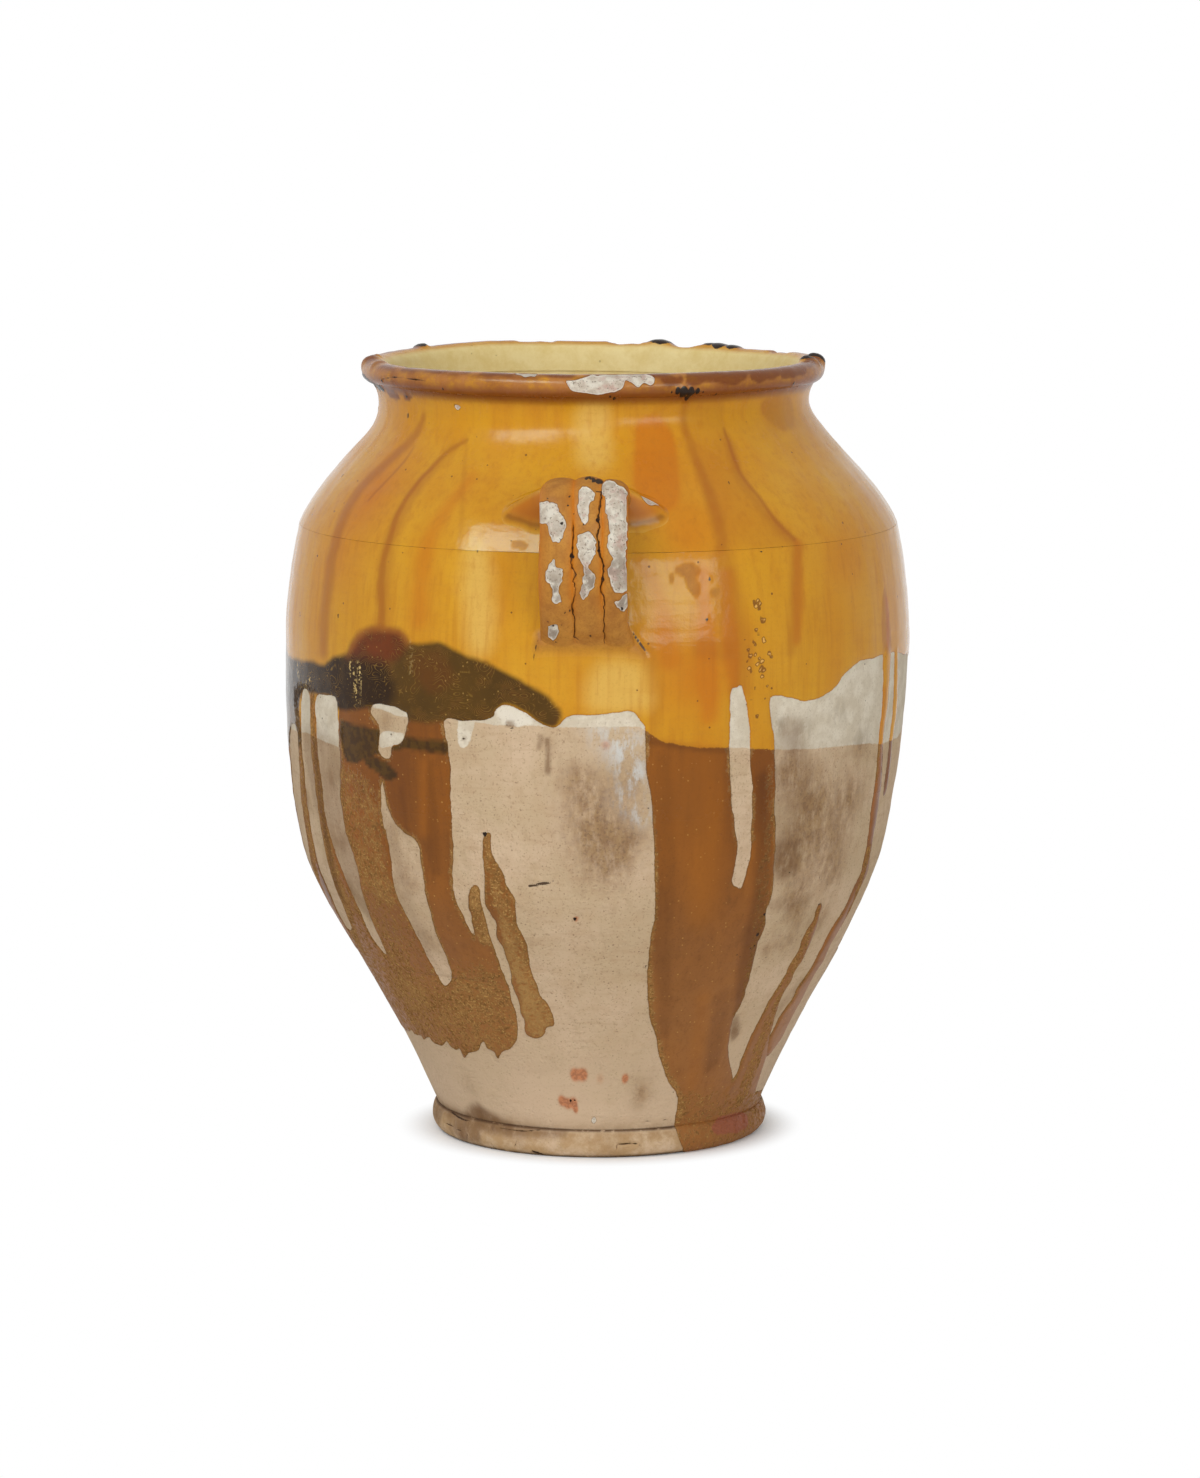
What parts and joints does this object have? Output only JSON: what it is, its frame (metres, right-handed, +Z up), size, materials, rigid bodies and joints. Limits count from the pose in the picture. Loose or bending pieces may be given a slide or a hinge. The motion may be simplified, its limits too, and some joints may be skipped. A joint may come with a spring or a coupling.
{
  "type": "confit jar",
  "caption": "Tall round-bellied earthenware jar with a rolled rim, a narrow rolled foot and a ribbed strap handle on each side of the shoulder.",
  "frame": {"origin": "on the jar's axis at the middle of its flat underside", "axes": "+Z up along the jar's axis; the front handle stands towards -Y and the rear handle towards +Y, both turned 2.6 degrees clockwise seen from above; +X across the jar"},
  "size_m": [0.2636, 0.3084, 0.33],
  "materials": {
    "bare_clay": "unglazed, matt, weathered earthenware",
    "yellow_glaze": "glossy honey-yellow glaze over white slip, crazed and worn"
  },
  "bodies": {
    "root": {"foot_ring": "bare_clay", "base_section": "bare_clay", "belly_section": "yellow_glaze", "shoulder_section": "yellow_glaze", "rim_roll": "yellow_glaze", "front_handle": "yellow_glaze", "rear_handle": "yellow_glaze", "front_luting_collar": "yellow_glaze", "rear_luting_collar": "yellow_glaze"}
  },
  "joints": []
}
